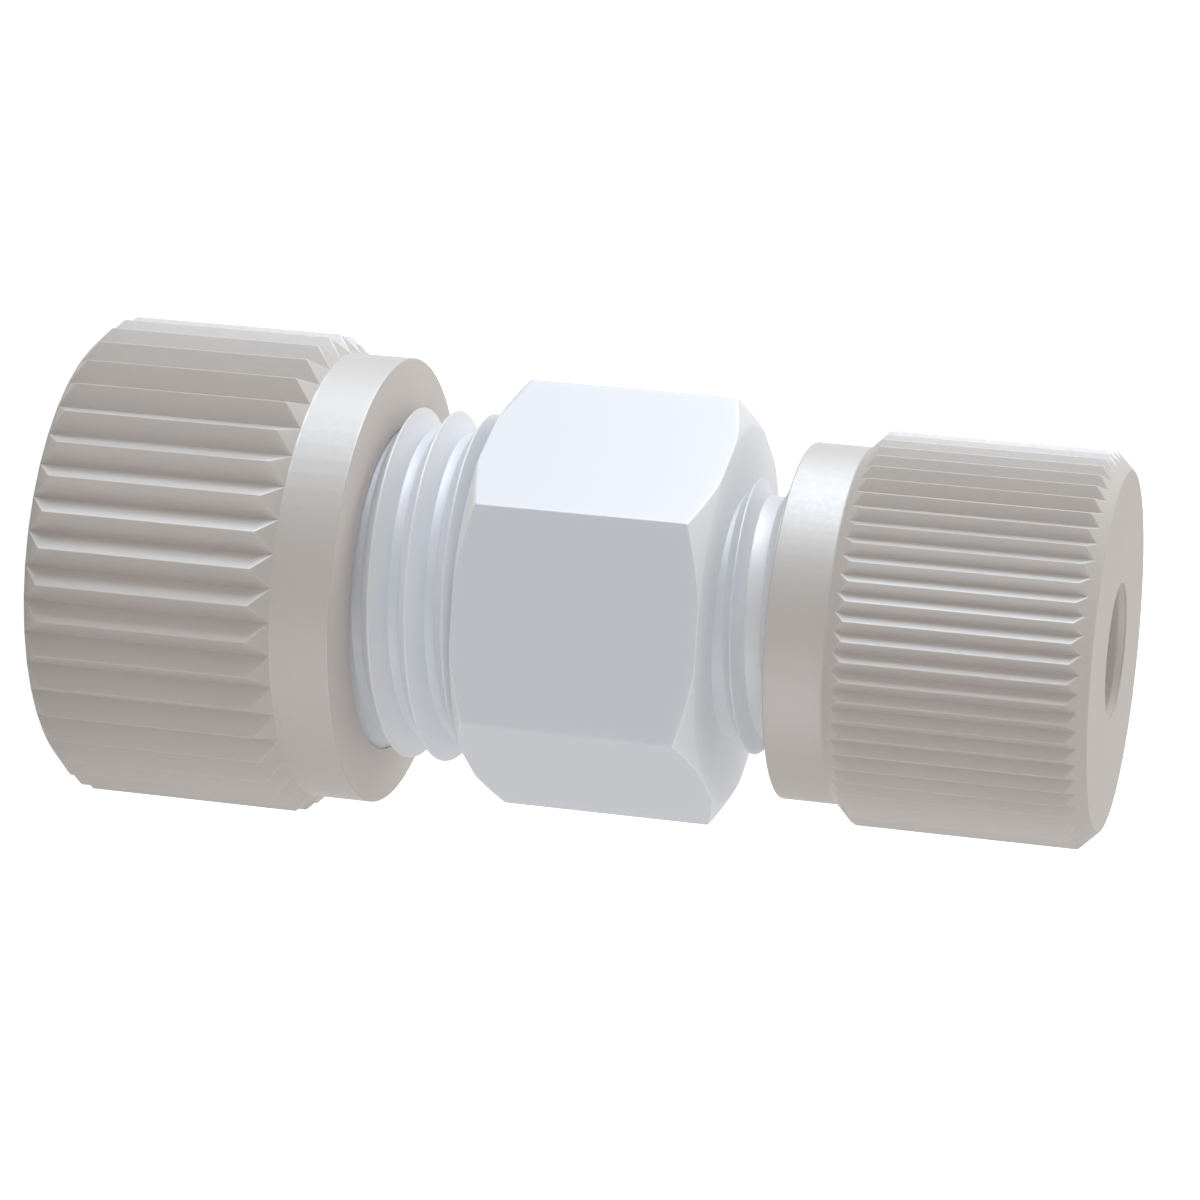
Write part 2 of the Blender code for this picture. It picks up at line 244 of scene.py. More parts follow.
def edged(corners, reach):
    """Rows of a profile whose inner corners are broken, for every column at once.

    About an inner corner P the profile follows P + (1 - t)(1 - t) a + t t b, with t from 0 to 1.
    Here a and b point back and on along the profile and are as long as the reach, or EDGE_SHARE
    of the shorter side. One more row at EDGE_GUARD times a and b keeps the flats beside it flat.
    """
    inner = corners[1:-1]
    back = corners[:-2] - inner
    on = corners[2:] - inner
    back_length = np.maximum(np.linalg.norm(back, axis=-1, keepdims=True), 1e-12)
    on_length = np.maximum(np.linalg.norm(on, axis=-1, keepdims=True), 1e-12)
    short = np.minimum(np.minimum(back_length, on_length) * EDGE_SHARE, reach)
    a = (back / back_length * short)[:, None]
    b = (on / on_length * short)[:, None]
    t = np.linspace(0.0, 1.0, EDGE_STEPS + 1).reshape(1, -1, 1, 1)
    curve = inner[:, None] + (1.0 - t) ** 2 * a + t**2 * b
    first, last = inner[:, None] + EDGE_GUARD * a, inner[:, None] + EDGE_GUARD * b
    rows = np.concatenate([first, curve, last], axis=1)
    return np.concatenate([corners[:1], rows.reshape(-1, *corners.shape[1:]), corners[-1:]])


def above_zero(value, width):
    """The larger of value and 0 with its corner made round.

    Within the width it is (value + width)^2 / (4 width).
    """
    rounded = (value + width) ** 2 / (4.0 * width)
    return np.where(np.abs(value) < width, rounded, np.maximum(value, 0.0))


def thread_height(thread, depth, part):
    """Height of the thread over its root, at parts of a pitch that count from a root.

    At a distance d from the crest's middle it is depth - slope (d - crest_half), held between 0
    and the depth with round corners.
    """
    distance = thread.pitch * np.abs(np.mod(part, 1.0) - 0.5)
    fall = above_zero(thread.slope * (distance - thread.crest_half), thread.crest_edge)
    return above_zero(depth - fall, thread.root_edge)


def thread_rows(thread, depth):
    """Parts of a pitch where one turn needs a row: on the flats and round both ends of a flank."""
    crest = thread.crest_half + thread.crest_edge / thread.slope * np.array([-1.0, -0.3, 0.3, 1.0])
    foot = thread.crest_half + depth / thread.slope
    foot = foot + thread.root_edge / thread.slope * np.array([-1.0, -0.5, 0.0, 0.5, 1.0])
    distance = np.concatenate([crest, foot]) / thread.pitch
    return np.concatenate([[0.0], 0.5 - distance[::-1], [0.5], 0.5 + distance])


def part_at(thread, side, heights, angles):
    """How far heights stand above a root of the helix, in parts of a pitch.

    That is (height - crest) / pitch + 1/2 - angle / 2 pi.
    """
    return (heights - side.crest) / thread.pitch + 0.5 - angles / (2.0 * np.pi)


def threaded(thread, side, root_r, low, high, angles, trim):
    """Rows of a thread between two flat planes.

    A point of row i in the column at an angle stands at crest + pitch (i - 1/2 + angle / 2 pi),
    where i counts turns, so that each row follows the helix. Heights beyond a plane are drawn
    onto it, and every radius is root_r plus the thread's height there.
    """
    first = math.floor((low - side.crest) / thread.pitch) - 1
    last = math.ceil((high - side.crest) / thread.pitch) + 2
    turns = np.arange(first, last)[:, None] + thread_rows(thread, side.thread_depth)
    turns = turns.ravel()[:, None]
    heights = side.crest + thread.pitch * (turns - 0.5 + angles / (2.0 * np.pi))
    near = ROW_SNAP * thread.pitch
    heights = np.where(heights < low + near, low, np.where(heights > high - near, high, heights))
    part = part_at(thread, side, heights, angles)
    radii = trim(root_r + thread_height(thread, side.thread_depth, part), heights)
    return np.stack([radii, heights], axis=-1)


def end_row(thread, side, root_r, height, angles, trim):
    """The row where a thread meets the flat plane at that height."""
    part = part_at(thread, side, height, angles)
    heights = np.full_like(angles, height)
    radii = trim(root_r + thread_height(thread, side.thread_depth, part), heights)
    return np.stack([radii, heights], axis=-1)


def corner_reach(half, edge):
    """Angle from the middle of the hexagon's broken corner to the flat beside it."""
    return math.pi / 6.0 - math.atan((half - edge) * math.tan(math.pi / 6.0) / half)


def hexagon_columns(half, edge):
    """Angles round the hexagon, from a corner on +X, with extra columns on the broken corners."""
    near = corner_reach(half, edge) * np.array([0.0, 1.0 / 3.0, 2.0 / 3.0, 1.0, 1.7])
    between = np.radians(np.arange(HEXAGON_STEP, 59.0, HEXAGON_STEP))
    sixth = np.concatenate([near, between, math.pi / 3.0 - near[:0:-1]])
    return (np.arange(6)[:, None] * math.pi / 3.0 + sixth).ravel()


def hexagon_radius(angles, half, edge):
    """Radius of a hexagon of that half width, its corners rounded by the edge's radius.

    With d the angle from the nearest corner, a flat's radius is half / cos(30 deg - |d|). Near
    the corner it is c cos d + sqrt(edge edge - c c sin d sin d), where c is (half - edge) /
    cos 30 deg.
    """
    from_corner = np.mod(angles + math.pi / 6.0, math.pi / 3.0) - math.pi / 6.0
    flat = half / np.cos(math.pi / 6.0 - np.abs(from_corner))
    centre = (half - edge) / math.cos(math.pi / 6.0)
    under_root = np.maximum(edge**2 - (centre * np.sin(from_corner)) ** 2, 0.0)
    round_r = centre * np.cos(from_corner) + np.sqrt(under_root)
    return np.where(np.abs(from_corner) < corner_reach(half, edge), round_r, flat)


def knurl_columns(side, corner):
    """Angles round the knurl and, for each, the radius of the knurl there.

    With d the distance from the nearest tip in parts of a tooth, the radius is knurl_r - 2 depth d,
    softened by the corner's width at the tips and at the roots.
    """
    half = np.array([0.0, 0.5, 1.0, 2.2]) * corner
    part = np.concatenate([half, 0.5 - half[:0:-1], [0.5], 0.5 + half[1:], 1.0 - half[:0:-1]])
    tooth = np.arange(side.teeth)[:, None] + part
    angles = (side.turn + 2.0 * np.pi * tooth / side.teeth).ravel()
    distance = np.tile(np.minimum(part, 1.0 - part), side.teeth)
    distance = 0.5 - softened(0.5 - softened(distance, corner), corner)
    return angles, side.knurl_r - 2.0 * side.knurl_depth * distance


class Shell:
    """A closed surface that is put together from bands of faces round the axis."""

    def __init__(self):
        self.points = []
        self.quads = []
        self.triangles = []
        self.count = 0

    def add_points(self, rows, angles):
        """Adds rows of (radius, height) as (radius cos, radius sin, height).

        Gives back the number of the first.
        """
        radius, height = rows[..., 0], rows[..., 1]
        xyz = np.stack([radius * np.cos(angles), radius * np.sin(angles), height], axis=-1)
        first = self.count
        self.points.append(xyz.reshape(-1, 3))
        self.count += radius.size
        return first

    def band(self, rows, angles, climb=0):
        """Faces between rows that follow each other. A thread climbs that many rows each turn."""
        first = self.add_points(rows, angles)
        count, columns = rows.shape[:2]
        row = np.arange(count - 1 - climb)[:, None]
        column = np.arange(columns)[None, :]
        beside = (column + 1) % columns
        wrapped = row + np.where(column == columns - 1, climb, 0)
        quad = [row * columns + column, wrapped * columns + beside]
        quad += [(wrapped + 1) * columns + beside, (row + 1) * columns + column]
        self.quads.append(first + np.stack(np.broadcast_arrays(*quad), axis=-1).reshape(-1, 4))

    def washer(self, coarse, coarse_angles, fine, fine_angles):
        """Flat faces between a row and one that has a multiple of its columns."""
        a = self.add_points(coarse[None], coarse_angles)
        b = self.add_points(fine[None], fine_angles)
        columns, many = len(coarse_angles), len(fine_angles)
        share = many // columns
        k = np.arange(many)
        corner = (k // share + (k % share >= (share + 1) // 2)) % columns
        self.triangles.append(np.stack([a + corner, b + k, b + (k + 1) % many], axis=-1))
        c = np.arange(columns)
        middle = b + c * share + (share + 1) // 2
        self.triangles.append(np.stack([a + c, middle, a + (c + 1) % columns], axis=-1))

    def piece(self, name, material, crease=33.0):
        """Welds the bands into one closed mesh with its faces outwards, and makes its object."""
        mesh = bpy.data.meshes.new(name)
        faces = [part.tolist() for part in self.quads + self.triangles]
        mesh.from_pydata(np.concatenate(self.points), [], sum(faces, []))
        bm = bmesh.new()
        bm.from_mesh(mesh)
        bmesh.ops.remove_doubles(bm, verts=bm.verts, dist=WELD)
        bmesh.ops.recalc_face_normals(bm, faces=bm.faces)
        bm.to_mesh(mesh)
        bm.free()
        mesh.shade_smooth()
        mesh.set_sharp_from_angle(angle=math.radians(crease))
        mesh.materials.append(material)
        made = bpy.data.objects.new(name, mesh)
        bpy.context.collection.objects.link(made)
        return made


def triples(items, key):
    """One vector for each item of a mesh, as rows."""
    values = np.empty(len(items) * 3)
    items.foreach_get(key, values)
    return values.reshape(-1, 3)


def mark(piece, name, domain, value):
    """Keeps a value for each point or each face as an attribute."""
    attribute = piece.data.attributes.new(name, "FLOAT", domain)
    attribute.data.foreach_set("value", value.astype(np.float32))


# --- Heights shared by the pieces -------------------------------------------------------------


def heights_of(scene):
    """Heights of the hexagon's faces, of the narrow nut's foot and of the top."""
    base = scene.union_nut.length + scene.union_wide.exposed
    top = base + scene.union_body.hexagon
    narrow_nut = top + scene.union_narrow.exposed
    return base, top, narrow_nut, narrow_nut + scene.union_nut.length


def side_of(scene, name):
    """One side's sizes, and what turns a distance from its nut's end face into a height."""
    total = heights_of(scene)[3]
    if name == "wide":
        return scene.union_wide, lambda u: u
    return scene.union_narrow, lambda u: total - u


def seat_radius(scene, side, u):
    """Radius of the spigot's seat: the ferrule's front cone and a clearance square to it."""
    ferrule = scene.union_ferrule
    slope = (ferrule.cone_r - ferrule.tip_r) / (ferrule.tip - ferrule.shoulder)
    cone = side.bore_r + ferrule.cone_r - slope * (u - ferrule.shoulder)
    return cone + scene.union_thread.gap * math.hypot(1.0, slope)


# --- Pieces -----------------------------------------------------------------------------------


def hexagon_rows(scene, angles, base_foot, top_foot):
    """The hexagon from one thread's foot to the other, with a turned chamfer on both ends.

    The chamfer is a cone that meets the end face at face_r and falls by its slope. The face ends
    at the cone, or just inside the flats, and the flats end in the arcs where the cone leaves them.
    """
    sizes = scene.union_body
    base, top = heights_of(scene)[:2]
    outline = hexagon_radius(angles, sizes.across_flats / 2.0, sizes.edge)
    face = np.minimum(outline - 0.6 * sizes.edge, sizes.face_r)
    drop = sizes.chamfer_slope * (outline - face)
    corners = [
        base_foot,
        np.stack([face, np.full_like(face, base)], axis=-1),
        np.stack([outline, base + drop], axis=-1),
        np.stack([outline, top - drop], axis=-1),
        np.stack([face, np.full_like(face, top)], axis=-1),
        top_foot,
    ]
    return edged(np.stack(corners), sizes.edge)


def spigot(shell, scene, name, hexagon_height, angles):
    """Adds a spigot's thread, tapered where it starts, and gives back its foot on the hexagon."""
    thread = scene.union_thread
    side, height_of = side_of(scene, name)
    end = height_of(scene.union_body.spigot_end)
    root_r = side.thread_r - side.thread_depth
    start_r = root_r - thread.lead_in_under
    rise = (side.thread_r - start_r) / thread.lead_in

    def taper(radii, heights):
        """Holds the thread under the cone that its lead-in follows."""
        return np.minimum(radii, start_r + rise * np.abs(heights - end))

    low, high = sorted((end, hexagon_height))
    rows = threaded(thread, side, root_r, low, high, angles, taper)
    shell.band(rows, angles, climb=len(thread_rows(thread, side.thread_depth)))
    return end_row(thread, side, root_r, hexagon_height, angles, taper)


def inside_of_body(scene):
    """Profile through the body: the seat, the tube socket and its stop, the duct, and back out."""
    sizes = scene.union_body
    thread = scene.union_thread
    halves = []
    for name in ("wide", "narrow"):
        side, height_of = side_of(scene, name)
        start_r = side.thread_r - side.thread_depth - thread.lead_in_under
        halves.append(
            [
                (start_r, height_of(sizes.spigot_end)),
                (seat_radius(scene, side, sizes.spigot_end), height_of(sizes.spigot_end)),
                (seat_radius(scene, side, sizes.seat_end), height_of(sizes.seat_end)),
                (side.bore_r, height_of(sizes.seat_end)),
                (side.bore_r, height_of(sizes.tube_stop)),
                (sizes.duct_r, height_of(sizes.tube_stop)),
            ]
        )
    return halves[0] + halves[1][::-1]


def make_body(scene):
    """The hexagonal body with its two threaded spigots, one closed surface."""
    sizes = scene.union_body
    base, top = heights_of(scene)[:2]
    angles = hexagon_columns(sizes.across_flats / 2.0, sizes.edge)
    shell = Shell()
    base_foot = spigot(shell, scene, "wide", base, angles)
    top_foot = spigot(shell, scene, "narrow", top, angles)
    shell.band(hexagon_rows(scene, angles, base_foot, top_foot), angles)
    inside = revolved(inside_of_body(scene), len(angles))
    shell.band(edged(inside, BODY_INNER_EDGE), angles)
    piece = shell.piece("union_body_finished", fluoropolymer(scene))
    middle, half = (base + top) / 2.0, (top - base) / 2.0
    from_middle = np.abs(triples(piece.data.polygons, "center")[:, 2] - middle)
    facing_up = np.abs(triples(piece.data.polygons, "normal")[:, 2])
    on_thread = from_middle > half + PLANE_SLACK
    # The "end" value paints fill light on the end faces, chamfers and threads, lightening the shade
    # near the nuts; it also sets their roughness and subsurface.
    mark(piece, "end", "FACE", np.where(on_thread, THREAD_END, facing_up > CHAMFER_UP))
    x, y, z = triples(piece.data.vertices, "co").T
    wide, narrow = scene.union_wide, scene.union_narrow
    crest_r = np.where(z < middle, wide.thread_r, narrow.thread_r)
    depth = np.where(z < middle, wide.thread_depth, narrow.thread_depth)
    share = np.where(z < middle, WIDE_HOLLOW_FILL_LIGHT, 1.0)
    # Painted fill light: the deeper a point lies in a thread's groove, the more it is lightened
    # against the shade there.
    hollow_fill_light = np.clip((crest_r - np.hypot(x, y)) / depth, 0.0, 1.0) * share
    off_flats = np.abs(z - middle) > half - PLANE_SLACK
    mark(piece, "hollow_fill_light", "POINT", np.where(off_flats, hollow_fill_light, 0.0))
    return piece


def outside_of_nut(side, nut, height_of, radii):
    """Rows of a nut's outside: end face's rim, knurl between 45 degree cones, collar."""
    rim = np.full_like(radii, side.collar_r)
    slope = radii - side.collar_r
    corners = [
        (rim - RIM_RING, 0.0),
        (rim, 0.0),
        (radii, slope),
        (radii, side.knurl_end - slope),
        (rim, side.knurl_end),
        (rim, nut.length),
        (rim - RIM_RING, nut.length),
    ]
    rows = [np.stack([r, np.broadcast_to(height_of(u), r.shape)], axis=-1) for r, u in corners]
    return edged(np.stack(rows), nut.edge)


def make_nut(scene, name, node_name, material):
    """A union nut: knurl, collar, female thread, relief, the ferrule's seat and the tube's bore."""
    nut, thread, ferrule = scene.union_nut, scene.union_thread, scene.union_ferrule
    side, height_of = side_of(scene, name)
    largest_r = side.thread_r + thread.play
    root_r = largest_r - side.thread_depth
    mouth_r = root_r + nut.mouth_break
    relief_r = side.thread_r + thread.gap + nut.relief
    mouth = height_of(nut.length)

    def opened(radii, heights):
        """Breaks the female crests at the mouth by a 45 degree cone."""
        return np.maximum(radii, mouth_r - np.abs(heights - mouth))

    shell = Shell()
    inner = full_turn(BORE_COLUMNS, side.turn)
    angles, radii = knurl_columns(side, KNURL_CORNER[name])
    outside = outside_of_nut(side, nut, height_of, radii)
    shell.band(outside, angles)

    low, high = sorted((height_of(nut.thread_start), mouth))
    rows = threaded(thread, side, root_r, low, high, inner, opened)
    shell.band(rows, inner, climb=len(thread_rows(thread, side.thread_depth)))
    back_row = end_row(thread, side, root_r, height_of(nut.thread_start), inner, opened)
    mouth_row = end_row(thread, side, root_r, mouth, inner, opened)
    shell.washer(mouth_row, inner, outside[-1], angles)

    cone_back_r = side.bore_r + ferrule.back_r + thread.gap * math.sqrt(2.0)
    cone_back_r -= ferrule.back - nut.wall
    cone_front = nut.wall + relief_r - cone_back_r
    profile = [
        (relief_r, height_of(nut.thread_start)),
        (relief_r, height_of(cone_front)),
        (cone_back_r, height_of(nut.wall)),
        (side.bore_r, height_of(nut.wall)),
        (side.bore_r, height_of(nut.bore_chamfer)),
        (side.bore_r + nut.bore_chamfer_r, height_of(0.0)),
        (side.bore_r + nut.bore_chamfer_r + BORE_RING, height_of(0.0)),
    ]
    back = np.concatenate([back_row[None], revolved(profile, BORE_COLUMNS)])
    back = edged(back, NUT_INNER_EDGE)
    shell.band(back, inner)
    shell.washer(back[-1], inner, outside[0], angles)

    piece = shell.piece(node_name + "_finished", material)
    x, y, _ = triples(piece.data.vertices, "co").T
    near = (np.hypot(x, y) - side.knurl_r + side.knurl_depth) / side.knurl_depth
    mark(piece, "tip", "POINT", np.clip(near, 0.0, 1.0))
    x, y, z = triples(piece.data.polygons, "center").T
    radius = np.hypot(x, y)
    in_bore = radius < side.bore_r + BORE_SLACK
    on_mouth = np.abs(z - mouth) < MOUTH_SLACK
    on_knurl = radius > side.collar_r + COLLAR_SLACK
    # Painted fill light: bore, mouth face and knurl are lightened against the shade that falls on
    # them.
    lift = np.select([on_knurl, in_bore, on_mouth], [KNURL_FILL_LIGHT, BORE_FILL_LIGHT, MOUTH_FILL_LIGHT], 0.0)
    mark(piece, "lift", "FACE", lift)
    return piece


def make_ferrule(scene, name, node_name, material):
    """A clamping ferrule, a profile turned round the axis and closed on itself."""
    ferrule = scene.union_ferrule
    side, height_of = side_of(scene, name)
    r = side.bore_r
    middle = (ferrule.back + ferrule.tip) / 2.0
    profile = [
        (r, height_of(middle)),
        (r, height_of(ferrule.back)),
        (r + ferrule.back_r, height_of(ferrule.back)),
        (r + ferrule.max_r, height_of(ferrule.back + ferrule.max_r - ferrule.back_r)),
        (r + ferrule.max_r, height_of(ferrule.shoulder)),
        (r + ferrule.cone_r, height_of(ferrule.shoulder)),
        (r + ferrule.tip_r, height_of(ferrule.tip)),
        (r, height_of(ferrule.tip)),
        (r, height_of(middle)),
    ]
    shell = Shell()
    rows = edged(revolved(profile, FERRULE_COLUMNS), ferrule.edge)
    shell.band(rows, full_turn(FERRULE_COLUMNS))
    return shell.piece(node_name + "_finished", material)


# --- Materials --------------------------------------------------------------------------------


class Recipe:
    """Builds one material's nodes."""

    def __init__(self, name):
        self.material = bpy.data.materials.new(name)
        self.material.use_nodes = True
        self.tree = self.material.node_tree
        self.shader = self.tree.nodes["Principled BSDF"]
        self.place = self.add("ShaderNodeTexCoord").outputs["Object"]

    def add(self, kind, inputs=None, **settings):
        """Adds a node. A socket given as an input is linked, and a value is set."""
        node = self.tree.nodes.new(kind)
        for key, value in settings.items():
            setattr(node, key, value)
        for key, value in (inputs or {}).items():
            self.put(node.inputs[key], value)
        return node

    def put(self, socket, value):
        """Links or sets one input."""
        if isinstance(value, bpy.types.NodeSocket):
            self.tree.links.new(value, socket)
        else:
            socket.default_value = value

    def noise(self, scale, detail=2.0):
        """Noise over the piece, from 0 to 1. The scale counts features in a metre."""
        inputs = {"Vector": self.place, "Scale": scale, "Detail": detail, "Roughness": 0.55}
        return self.add("ShaderNodeTexNoise", inputs).outputs["Fac"]

    def spread(self, value, low, high, to_low, to_high):
        """Maps low..high onto another range, and holds it there."""
        inputs = {"Value": value, "From Min": low, "From Max": high}
        inputs |= {"To Min": to_low, "To Max": to_high}
        return self.add("ShaderNodeMapRange", inputs).outputs["Result"]

    def blend(self, factor, first, second):
        """A colour between two, each a colour or a socket."""
        node = self.add("ShaderNodeMix", data_type="RGBA")
        for socket, value in ((0, factor), (6, first), (7, second)):
            self.put(node.inputs[socket], value)
        return node.outputs[2]

    def attribute(self, name):
        """A value that the mesh keeps for its points or faces."""
        return self.add("ShaderNodeAttribute", attribute_name=name).outputs["Fac"]

    def bump(self, height, strength, distance):
        """A fine relief from a height between 0 and 1."""
        inputs = {"Height": height, "Strength": strength, "Distance": distance}
        return self.add("ShaderNodeBump", inputs).outputs["Normal"]

    def finish(self, **inputs):
        """Sets the shader's inputs, named with underscores for spaces."""
        for key, value in inputs.items():
            self.put(self.shader.inputs[key.replace("_", " ")], value)
        return self.material


def shade(colour_value, factor):
    """A colour made lighter or darker, with its alpha."""
    return (*[min(1.0, channel * factor) for channel in colour_value], 1.0)


def filled_plastic(scene):
    """Filled plastic of the nuts: warm grey, nearly matt, faintly speckled, with lighter tips.

    The bore, the mouth and the knurl are painted a little lighter than the rest, a painted fill
    light against the shade that falls there.
    """
    base = scene.union_colours.nuts
    recipe = Recipe("filled_plastic_finish")
    cloud = recipe.spread(recipe.noise(140.0, 3.0), 0.3, 0.7, 0.0, 1.0)
    grain = recipe.noise(3200.0)
    tone = recipe.blend(cloud, shade(base, 0.99), shade(base, 1.01))
    speckle = recipe.spread(grain, 0.55, 0.75, 0.0, 0.2)
    tone = recipe.blend(speckle, tone, shade(base, 0.955))
    tip = recipe.attribute("tip")
    # Painted fill light on the bore, mouth and knurl, lightening their shade.
    tone = recipe.blend(recipe.attribute("lift"), tone, shade(base, 1.32))
    rubbed = recipe.spread(tip, 0.85, 1.0, 0.0, 0.3)
    tone = recipe.blend(rubbed, tone, shade(base, 1.1))
    fine = recipe.bump(recipe.noise(9000.0, 3.0), 0.06, 0.00003)
    return recipe.finish(
        Base_Color=tone,
        Roughness=recipe.spread(grain, 0.35, 0.65, 0.59, 0.63),
        Normal=fine,
        IOR=1.5,
        Specular_IOR_Level=1.0,
    )


def fluoropolymer(scene):
    """Fluoropolymer of the body: bluish white, softly glossy, light going a little way in.

    The end faces, the chamfers and the threads' roots are painted lighter than the flats, a painted
    fill light against the shade that falls there.
    """
    base = scene.union_colours.body
    recipe = Recipe("fluoropolymer_finish")
    cloud = recipe.spread(recipe.noise(110.0, 3.0), 0.3, 0.7, 0.0, 1.0)
    tone = recipe.blend(cloud, shade(base, 0.994), shade(base, 1.006))
    end = recipe.attribute("end")
    # Painted fill light: end faces, chamfers and threads are lightened against the shade near the
    # nuts.
    tone = recipe.blend(end, tone, shade(base, 1.22))
    # Painted fill light: thread roots are lightened against the shade in the grooves.
    tone = recipe.blend(recipe.attribute("hollow_fill_light"), tone, shade(base, 1.3))
    return recipe.finish(
        Base_Color=tone,
        Roughness=recipe.spread(end, 0.0, 0.15, 0.51, 0.56),
        IOR=1.38,
        Specular_IOR_Level=0.9,
        Subsurface_Weight=recipe.spread(end, 0.0, 0.15, 0.25, 1.0),
        Subsurface_Radius=(0.9, 0.95, 1.0),
        Subsurface_Scale=0.003,
    )


def ferrule_plastic(scene):
    """Fluoropolymer of the ferrules: plain white, with fine turning marks."""
    base = scene.union_colours.ferrules
    recipe = Recipe("ferrule_plastic_finish")
    tone = recipe.blend(recipe.noise(400.0), shade(base, 0.97), shade(base, 1.02))
    rings = recipe.add(
        "ShaderNodeTexWave",
        {"Vector": recipe.place, "Scale": 1600.0, "Distortion": 0.6},
        bands_direction="Z",
    ).outputs["Fac"]
    turned = recipe.bump(rings, 0.12, 0.00001)
    return recipe.finish(
        Base_Color=tone,
        Roughness=recipe.spread(recipe.noise(900.0), 0.3, 0.7, 0.36, 0.46),
        Normal=turned,
        IOR=1.38,
    )


# --- Stage ------------------------------------------------------------------------------------


def seen_directly(tree):
    """1 for rays from the camera, and for those by way of gloss or through glass, and else 0."""
    path = tree.nodes.new("ShaderNodeLightPath")
    total = path.outputs["Is Camera Ray"]
    for name in ("Is Glossy Ray", "Is Transmission Ray"):
        larger = tree.nodes.new("ShaderNodeMath")
        larger.operation = "MAXIMUM"
        tree.links.new(total, larger.inputs[0])
        tree.links.new(path.outputs[name], larger.inputs[1])
        total = larger.outputs[0]
    return total


def make_world():
    """A pale surround that is white where it is seen and softer where it only lights."""
    world = bpy.data.worlds.new("studio")
    world.use_nodes = True
    tree = world.node_tree
    tree.nodes.clear()
    light = tree.nodes.new("ShaderNodeBackground")
    light.inputs["Color"].default_value = (*WHITE, 1.0)
    light.inputs["Strength"].default_value = SURROUND_LIGHT
    seen = tree.nodes.new("ShaderNodeBackground")
    seen.inputs["Color"].default_value = (*WHITE, 1.0)
    seen.inputs["Strength"].default_value = 1.0
    mix = tree.nodes.new("ShaderNodeMixShader")
    output = tree.nodes.new("ShaderNodeOutputWorld")
    tree.links.new(seen_directly(tree), mix.inputs[0])
    tree.links.new(light.outputs[0], mix.inputs[1])
    tree.links.new(seen.outputs[0], mix.inputs[2])
    tree.links.new(mix.outputs[0], output.inputs["Surface"])
    bpy.context.scene.world = world


def floor_material():
    """A white floor: plain diffuse, lifted to white where it is seen, so that only shadows show."""
    material = bpy.data.materials.new("studio_floor")
    material.use_nodes = True
    tree = material.node_tree
    tree.nodes.clear()
    cloth = tree.nodes.new("ShaderNodeBsdfDiffuse")
    cloth.inputs["Color"].default_value = (0.8, 0.8, 0.8, 1.0)
    lift = tree.nodes.new("ShaderNodeEmission")
    lift.inputs["Color"].default_value = (*WHITE, 1.0)
    share = tree.nodes.new("ShaderNodeMath")
    share.operation = "MULTIPLY"
    share.inputs[1].default_value = FLOOR_LIFT
    total = tree.nodes.new("ShaderNodeAddShader")
    output = tree.nodes.new("ShaderNodeOutputMaterial")
    tree.links.new(seen_directly(tree), share.inputs[0])
    tree.links.new(share.outputs[0], lift.inputs["Strength"])
    tree.links.new(cloth.outputs[0], total.inputs[0])
    tree.links.new(lift.outputs[0], total.inputs[1])
    tree.links.new(total.outputs[0], output.inputs["Surface"])
    return material


def make_floor():
    """A square floor under the union, wide enough to fill the picture."""
    mesh = bpy.data.meshes.new("studio_floor")
    signs = ((-1.0, -1.0), (1.0, -1.0), (1.0, 1.0), (-1.0, 1.0))
    corners = [(FLOOR_HALF * x, FLOOR_HALF * y, 0.0) for x, y in signs]
    mesh.from_pydata(corners, [], [(0, 1, 2, 3)])
    mesh.materials.append(floor_material())
    floor = bpy.data.objects.new("studio_floor", mesh)
    bpy.context.collection.objects.link(floor)


def add_lamp(name, place, width, height, power, tint, shine_only):
    """A soft panel of light at a place, upright and facing the middle of the union.

    One that is for shine only is a reflector: it adds gloss to surfaces, but no diffuse light.
    """
    lamp = bpy.data.lights.new(name, "AREA")
    lamp.shape = "RECTANGLE"
    lamp.size = width
    lamp.size_y = height
    lamp.energy = power
    lamp.color = tint
    holder = bpy.data.objects.new(name, lamp)
    holder.location = place
    holder.rotation_mode = "QUATERNION"
    holder.rotation_quaternion = (Vector(UNION_MIDDLE) - Vector(place)).to_track_quat("-Z", "Y")
    holder.visible_diffuse = not shine_only
    bpy.context.collection.objects.link(holder)


def make_camera():
    """The photograph's camera, on its side because the union stands on its end here."""
    data = bpy.data.cameras.new("photo_camera")
    data.sensor_fit = "HORIZONTAL"
    data.sensor_width = 36.0
    data.lens = 134.7305
    data.clip_start = 0.01
    data.clip_end = 50.0
    camera = bpy.data.objects.new("photo_camera", data)
    right = (0.0647782, -0.2456409, 0.9671941)
    up = (0.9885753, -0.1163914, -0.0957704)
    back = (0.1360982, 0.9623480, 0.2352949)
    turn = Matrix((right, up, back)).transposed()
    camera.matrix_world = Matrix.Translation((0.0393709, 0.2781732, 0.1018489)) @ turn.to_4x4()
    bpy.context.collection.objects.link(camera)
    bpy.context.scene.camera = camera


# --- Operators --------------------------------------------------------------------------------


class UNION_OT_body(bpy.types.Operator):
    """Make the hexagonal body with its two threaded spigots"""

    bl_idname = "union.body"
    bl_label = "Body"

    def execute(self, context):
        piece = make_body(context.scene)
        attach(piece, "body")
        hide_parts("union_body")
        return {"FINISHED"}


class UNION_OT_nuts(bpy.types.Operator):
    """Make the two knurled union nuts"""

    bl_idname = "union.nuts"
    bl_label = "Union nuts"

    def execute(self, context):
        material = filled_plastic(context.scene)
        sides = (
            ("wide", "large_union_nut", "large_nut"),
            ("narrow", "small_union_nut", "small_nut"),
        )
        for name, node, body in sides:
            piece = make_nut(context.scene, name, node, material)
            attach(piece, body)
            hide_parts(node)
        return {"FINISHED"}


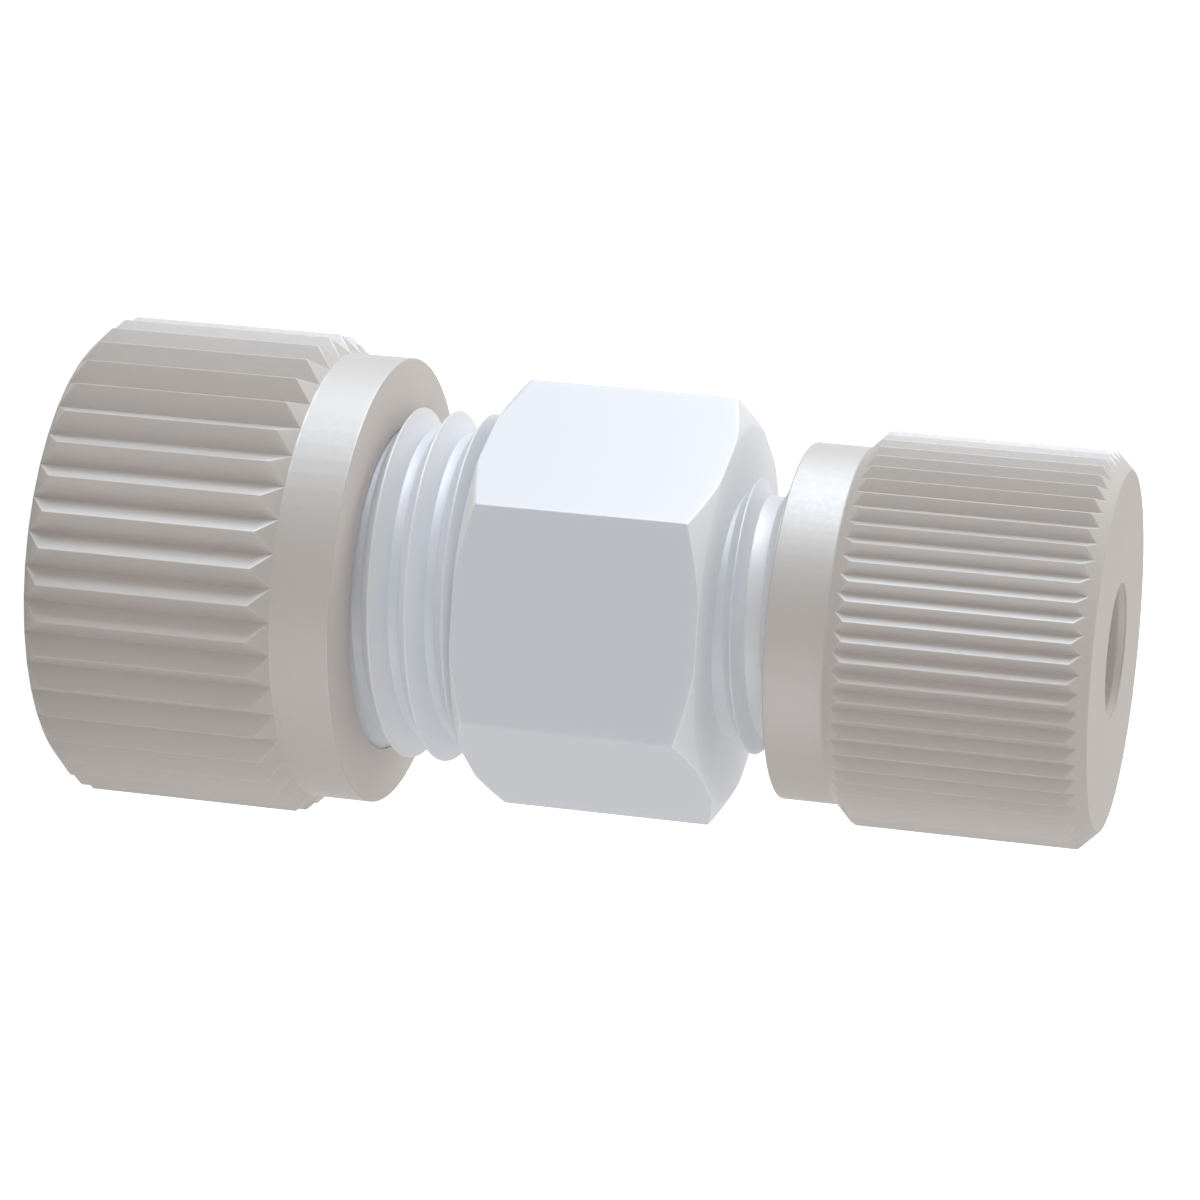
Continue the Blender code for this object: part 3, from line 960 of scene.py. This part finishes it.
class UNION_OT_ferrules(bpy.types.Operator):
    """Make the two clamping ferrules inside the nuts"""

    bl_idname = "union.ferrules"
    bl_label = "Ferrules"

    def execute(self, context):
        material = ferrule_plastic(context.scene)
        for name, node in (("wide", "large_ferrule"), ("narrow", "small_ferrule")):
            piece = make_ferrule(context.scene, name, node, material)
            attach(piece, node)
            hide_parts(node)
        return {"FINISHED"}


class UNION_OT_stage(bpy.types.Operator):
    """Make the floor, the lamps, the surround and the camera"""

    bl_idname = "union.stage"
    bl_label = "Stage"

    def execute(self, context):
        make_world()
        make_floor()
        make_camera()
        for lamp in LAMPS:
            add_lamp(*lamp)
        context.scene.view_settings.view_transform = "Standard"
        return {"FINISHED"}


class UNION_PT_panel(bpy.types.Panel):
    """Lists the union's sizes, colours and pieces"""

    bl_label = "Reducing union"
    bl_idname = "UNION_PT_panel"
    bl_space_type = "VIEW_3D"
    bl_region_type = "UI"
    bl_category = "Union"

    def draw(self, context):
        layout = self.layout
        for name, (kind, label) in GROUPS.items():
            box = layout.box()
            box.label(text=label)
            group = getattr(context.scene, name)
            for key in kind.__annotations__:
                box.prop(group, key)
        for operator in OPERATORS:
            layout.operator(operator.bl_idname)


GROUPS = {
    "union_thread": (ThreadSizes, "Threads"),
    "union_body": (BodySizes, "Body"),
    "union_nut": (NutSizes, "Nuts"),
    "union_ferrule": (FerruleSizes, "Ferrules"),
    "union_wide": (WideSide, "Wide side"),
    "union_narrow": (NarrowSide, "Narrow side"),
    "union_colours": (FinishColours, "Colours"),
}
OPERATORS = (UNION_OT_body, UNION_OT_nuts, UNION_OT_ferrules, UNION_OT_stage)


def register():
    """Registers the groups, the operators and the panel."""
    for name, (kind, _) in GROUPS.items():
        bpy.utils.register_class(kind)
        setattr(bpy.types.Scene, name, PointerProperty(type=kind))
    for kind in (*OPERATORS, UNION_PT_panel):
        bpy.utils.register_class(kind)


def unregister():
    """Takes out what register added."""
    for kind in (UNION_PT_panel, *OPERATORS[::-1]):
        bpy.utils.unregister_class(kind)
    for name, (kind, _) in GROUPS.items():
        delattr(bpy.types.Scene, name)
        bpy.utils.unregister_class(kind)


def main():
    register()
    bpy.ops.union.body()
    bpy.ops.union.nuts()
    bpy.ops.union.ferrules()
    bpy.ops.union.stage()
    bpy.context.view_layer.update()


if __name__ == "__main__":
    main()
